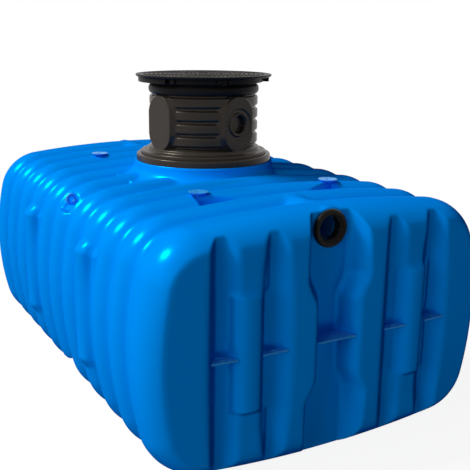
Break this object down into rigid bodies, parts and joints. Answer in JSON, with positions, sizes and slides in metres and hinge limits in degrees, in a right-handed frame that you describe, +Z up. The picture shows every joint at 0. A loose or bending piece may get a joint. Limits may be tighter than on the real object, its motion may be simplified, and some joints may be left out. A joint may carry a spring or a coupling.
{
  "type": "underground water tank",
  "caption": "Flat ribbed plastic tank for burying, with a port in each end and a round access shaft with a cover on its roof.",
  "frame": {"origin": "middle of the underside, on the shaft's vertical line", "axes": "+Z up, +Y along the tank from the inlet end to the outlet end, +X across the tank"},
  "size_m": [2.018, 2.81, 1.803],
  "materials": {
    "tank_plastic": "glossy blue moulded polyethylene",
    "shaft_plastic": "satin dark brown-grey moulded plastic",
    "cover_plastic": "satin black moulded plastic",
    "seal_rubber": "black rubber"
  },
  "bodies": {
    "root": {"floor": "tank_plastic", "roof": "tank_plastic", "left_wall": "tank_plastic", "right_wall": "tank_plastic", "upper_left_corner": "tank_plastic", "upper_right_corner": "tank_plastic", "lower_left_corner": "tank_plastic", "lower_right_corner": "tank_plastic", "front_end": "tank_plastic", "rear_end": "tank_plastic", "front_tabs": "tank_plastic", "rear_tabs": "tank_plastic", "roof_collar": "tank_plastic", "inlet_seal": "seal_rubber", "outlet_seal": "seal_rubber", "shaft_base": "shaft_plastic", "shaft_neck": "shaft_plastic", "pad_bosses": "shaft_plastic", "cover_bead": "cover_plastic", "cover_frame": "cover_plastic", "cover": "cover_plastic"}
  },
  "joints": []
}
